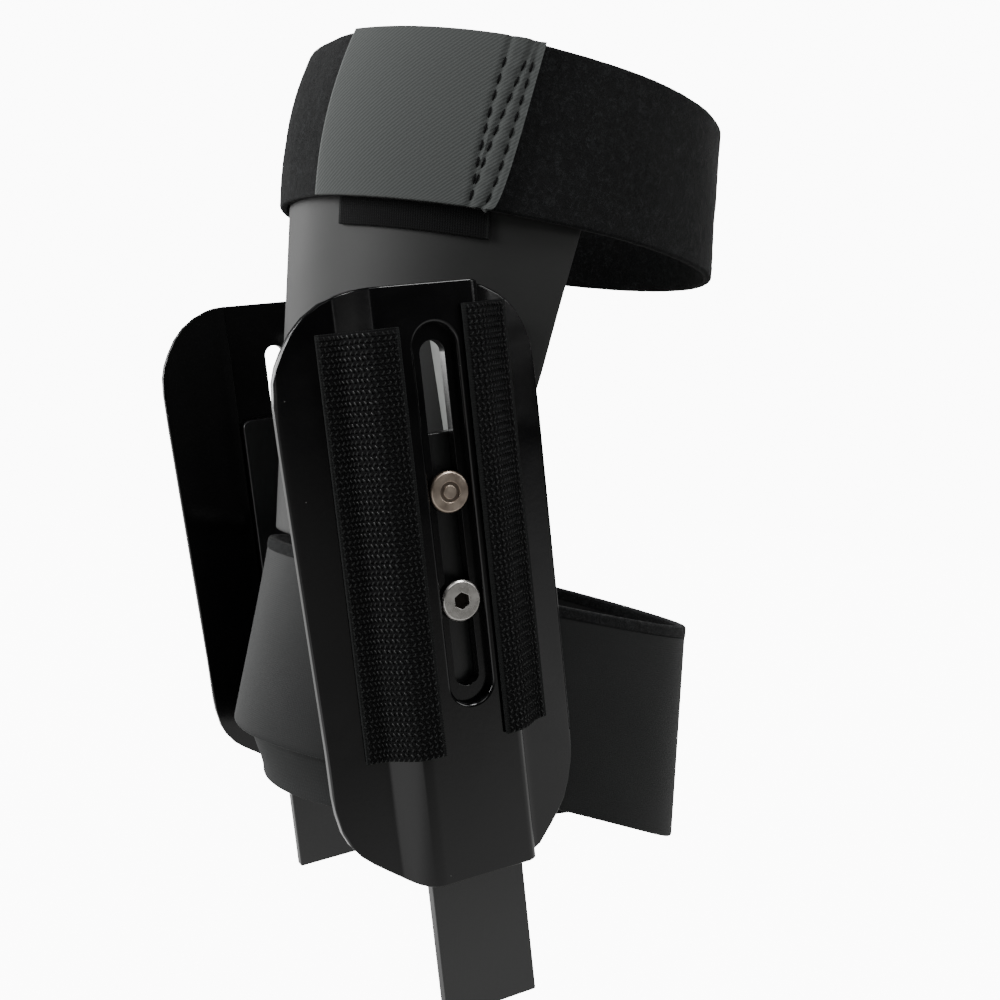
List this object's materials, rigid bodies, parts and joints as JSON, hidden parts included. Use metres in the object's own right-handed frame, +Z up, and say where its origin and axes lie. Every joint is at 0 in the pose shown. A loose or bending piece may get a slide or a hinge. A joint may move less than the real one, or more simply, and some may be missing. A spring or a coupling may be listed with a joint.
{
  "type": "double upright calf brace",
  "caption": "Calf section of a double upright leg brace: slotted black side plates with sliding bars, a grey rear shell, a felt cuff and a lined lower band.",
  "frame": {"origin": "on the calf's axis, level with the middle of the two plates' slots", "axes": "+Z up along the calf, -Y to the rear, +X to the wearer's right"},
  "size_m": [0.129, 0.1441, 0.2417],
  "materials": {
    "moulded_plate": "glossy moulded black",
    "hook_tape": "matte nylon hooks",
    "upright_bar": "satin dark grey",
    "nickel_rivet": "nickel plated",
    "steel_screw": "bright",
    "shell_sheet": "satin grey sheet",
    "felt": "brushed black felt",
    "twill": "dark grey twill",
    "band_cloth": "dark grey smooth cloth",
    "liner_cloth": "near black lining cloth"
  },
  "bodies": {
    "brace": {"right_plate": "moulded_plate", "left_plate": "moulded_plate", "right_hook_strip_rear": "hook_tape", "right_hook_strip_front": "hook_tape", "left_hook_strip_rear": "hook_tape", "left_hook_strip_front": "hook_tape", "shell_hook_patch": "hook_tape", "rear_shell": "shell_sheet", "right_shell_spacer": "shell_sheet", "left_shell_spacer": "shell_sheet", "cuff_wrap": "felt", "cuff_twill_panel": "twill", "lower_band": "band_cloth", "band_liner": "liner_cloth"},
    "right_upright": {"right_upright_bar": "upright_bar", "right_rivet": "nickel_rivet", "right_socket_screw": "steel_screw"},
    "left_upright": {"left_upright_bar": "upright_bar", "left_rivet": "nickel_rivet", "left_socket_screw": "steel_screw"}
  },
  "joints": [
    {"name": "right_upright_slide", "type": "slide", "parent": "brace", "child": "right_upright", "axis": [0, -0.1736, 0.9848], "range_m": [-0.0175, 0.032]},
    {"name": "left_upright_slide", "type": "slide", "parent": "brace", "child": "left_upright", "axis": [0, -0.1736, 0.9848], "range_m": [-0.0175, 0.032]}
  ]
}
